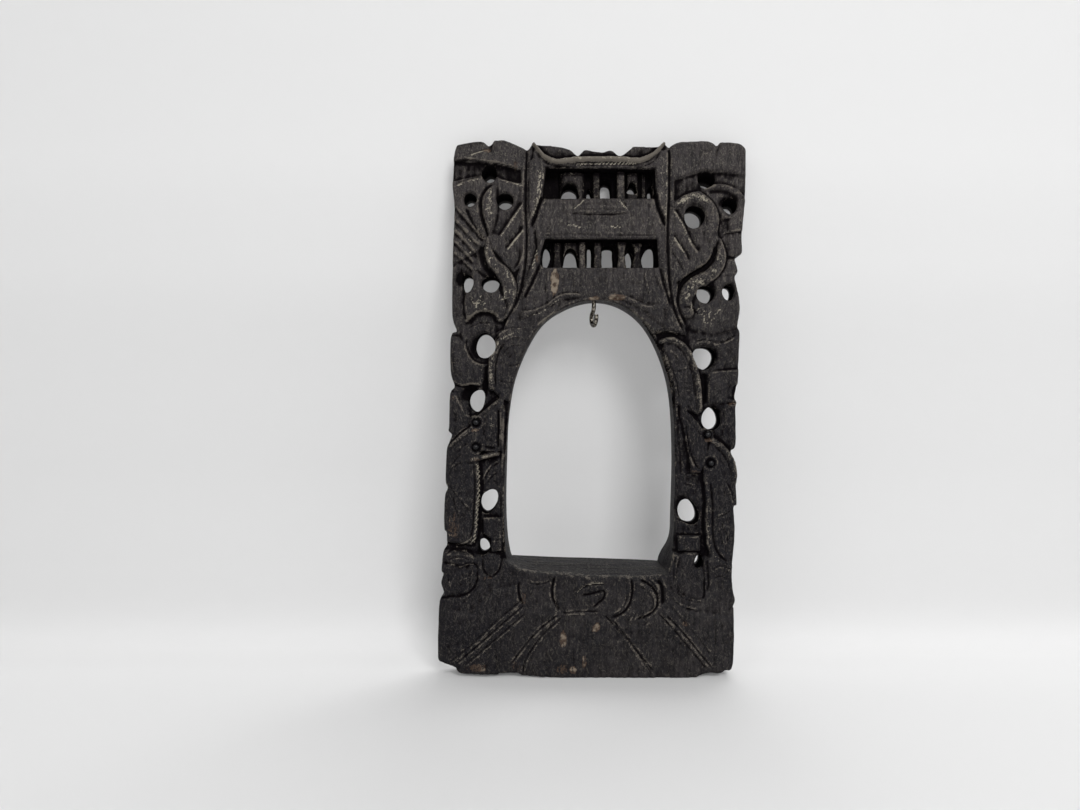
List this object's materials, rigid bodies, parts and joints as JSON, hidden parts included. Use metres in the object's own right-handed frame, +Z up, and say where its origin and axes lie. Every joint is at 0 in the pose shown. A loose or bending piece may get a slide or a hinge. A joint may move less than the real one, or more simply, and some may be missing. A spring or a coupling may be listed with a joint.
{
  "type": "carved wooden frame",
  "caption": "Carved and pierced hardwood frame with an arched opening, a screw hook in the crown and glass bead eyes.",
  "frame": {"origin": "middle of the board's width and thickness, at the height of its foot", "axes": "+Z up along the board's height, -Y out of the carved front, +X to the right as seen from the front"},
  "size_m": [0.1544, 0.018, 0.269],
  "materials": {
    "carved_wood": "black-brown stain, waxed",
    "hook_steel": "bright drawn wire",
    "bead_glass": "polished black",
    "pin_steel": "dull drawn wire"
  },
  "bodies": {
    "board": {"frame_board": "carved_wood", "eye_bead_left_upper": "bead_glass", "eye_bead_left_lower": "bead_glass", "eye_bead_right_upper": "bead_glass", "eye_bead_right_lower": "bead_glass", "eye_pin_left_upper": "pin_steel", "eye_pin_left_lower": "pin_steel", "eye_pin_right_upper": "pin_steel", "eye_pin_right_lower": "pin_steel"},
    "hook": {"screw_hook": "hook_steel"}
  },
  "joints": [
    {"name": "hook_turn", "type": "hinge", "parent": "board", "child": "hook", "pos_m": [0.001, 0, 0.19], "axis": [0, 0, 1], "range_deg": [-90, 90]}
  ]
}
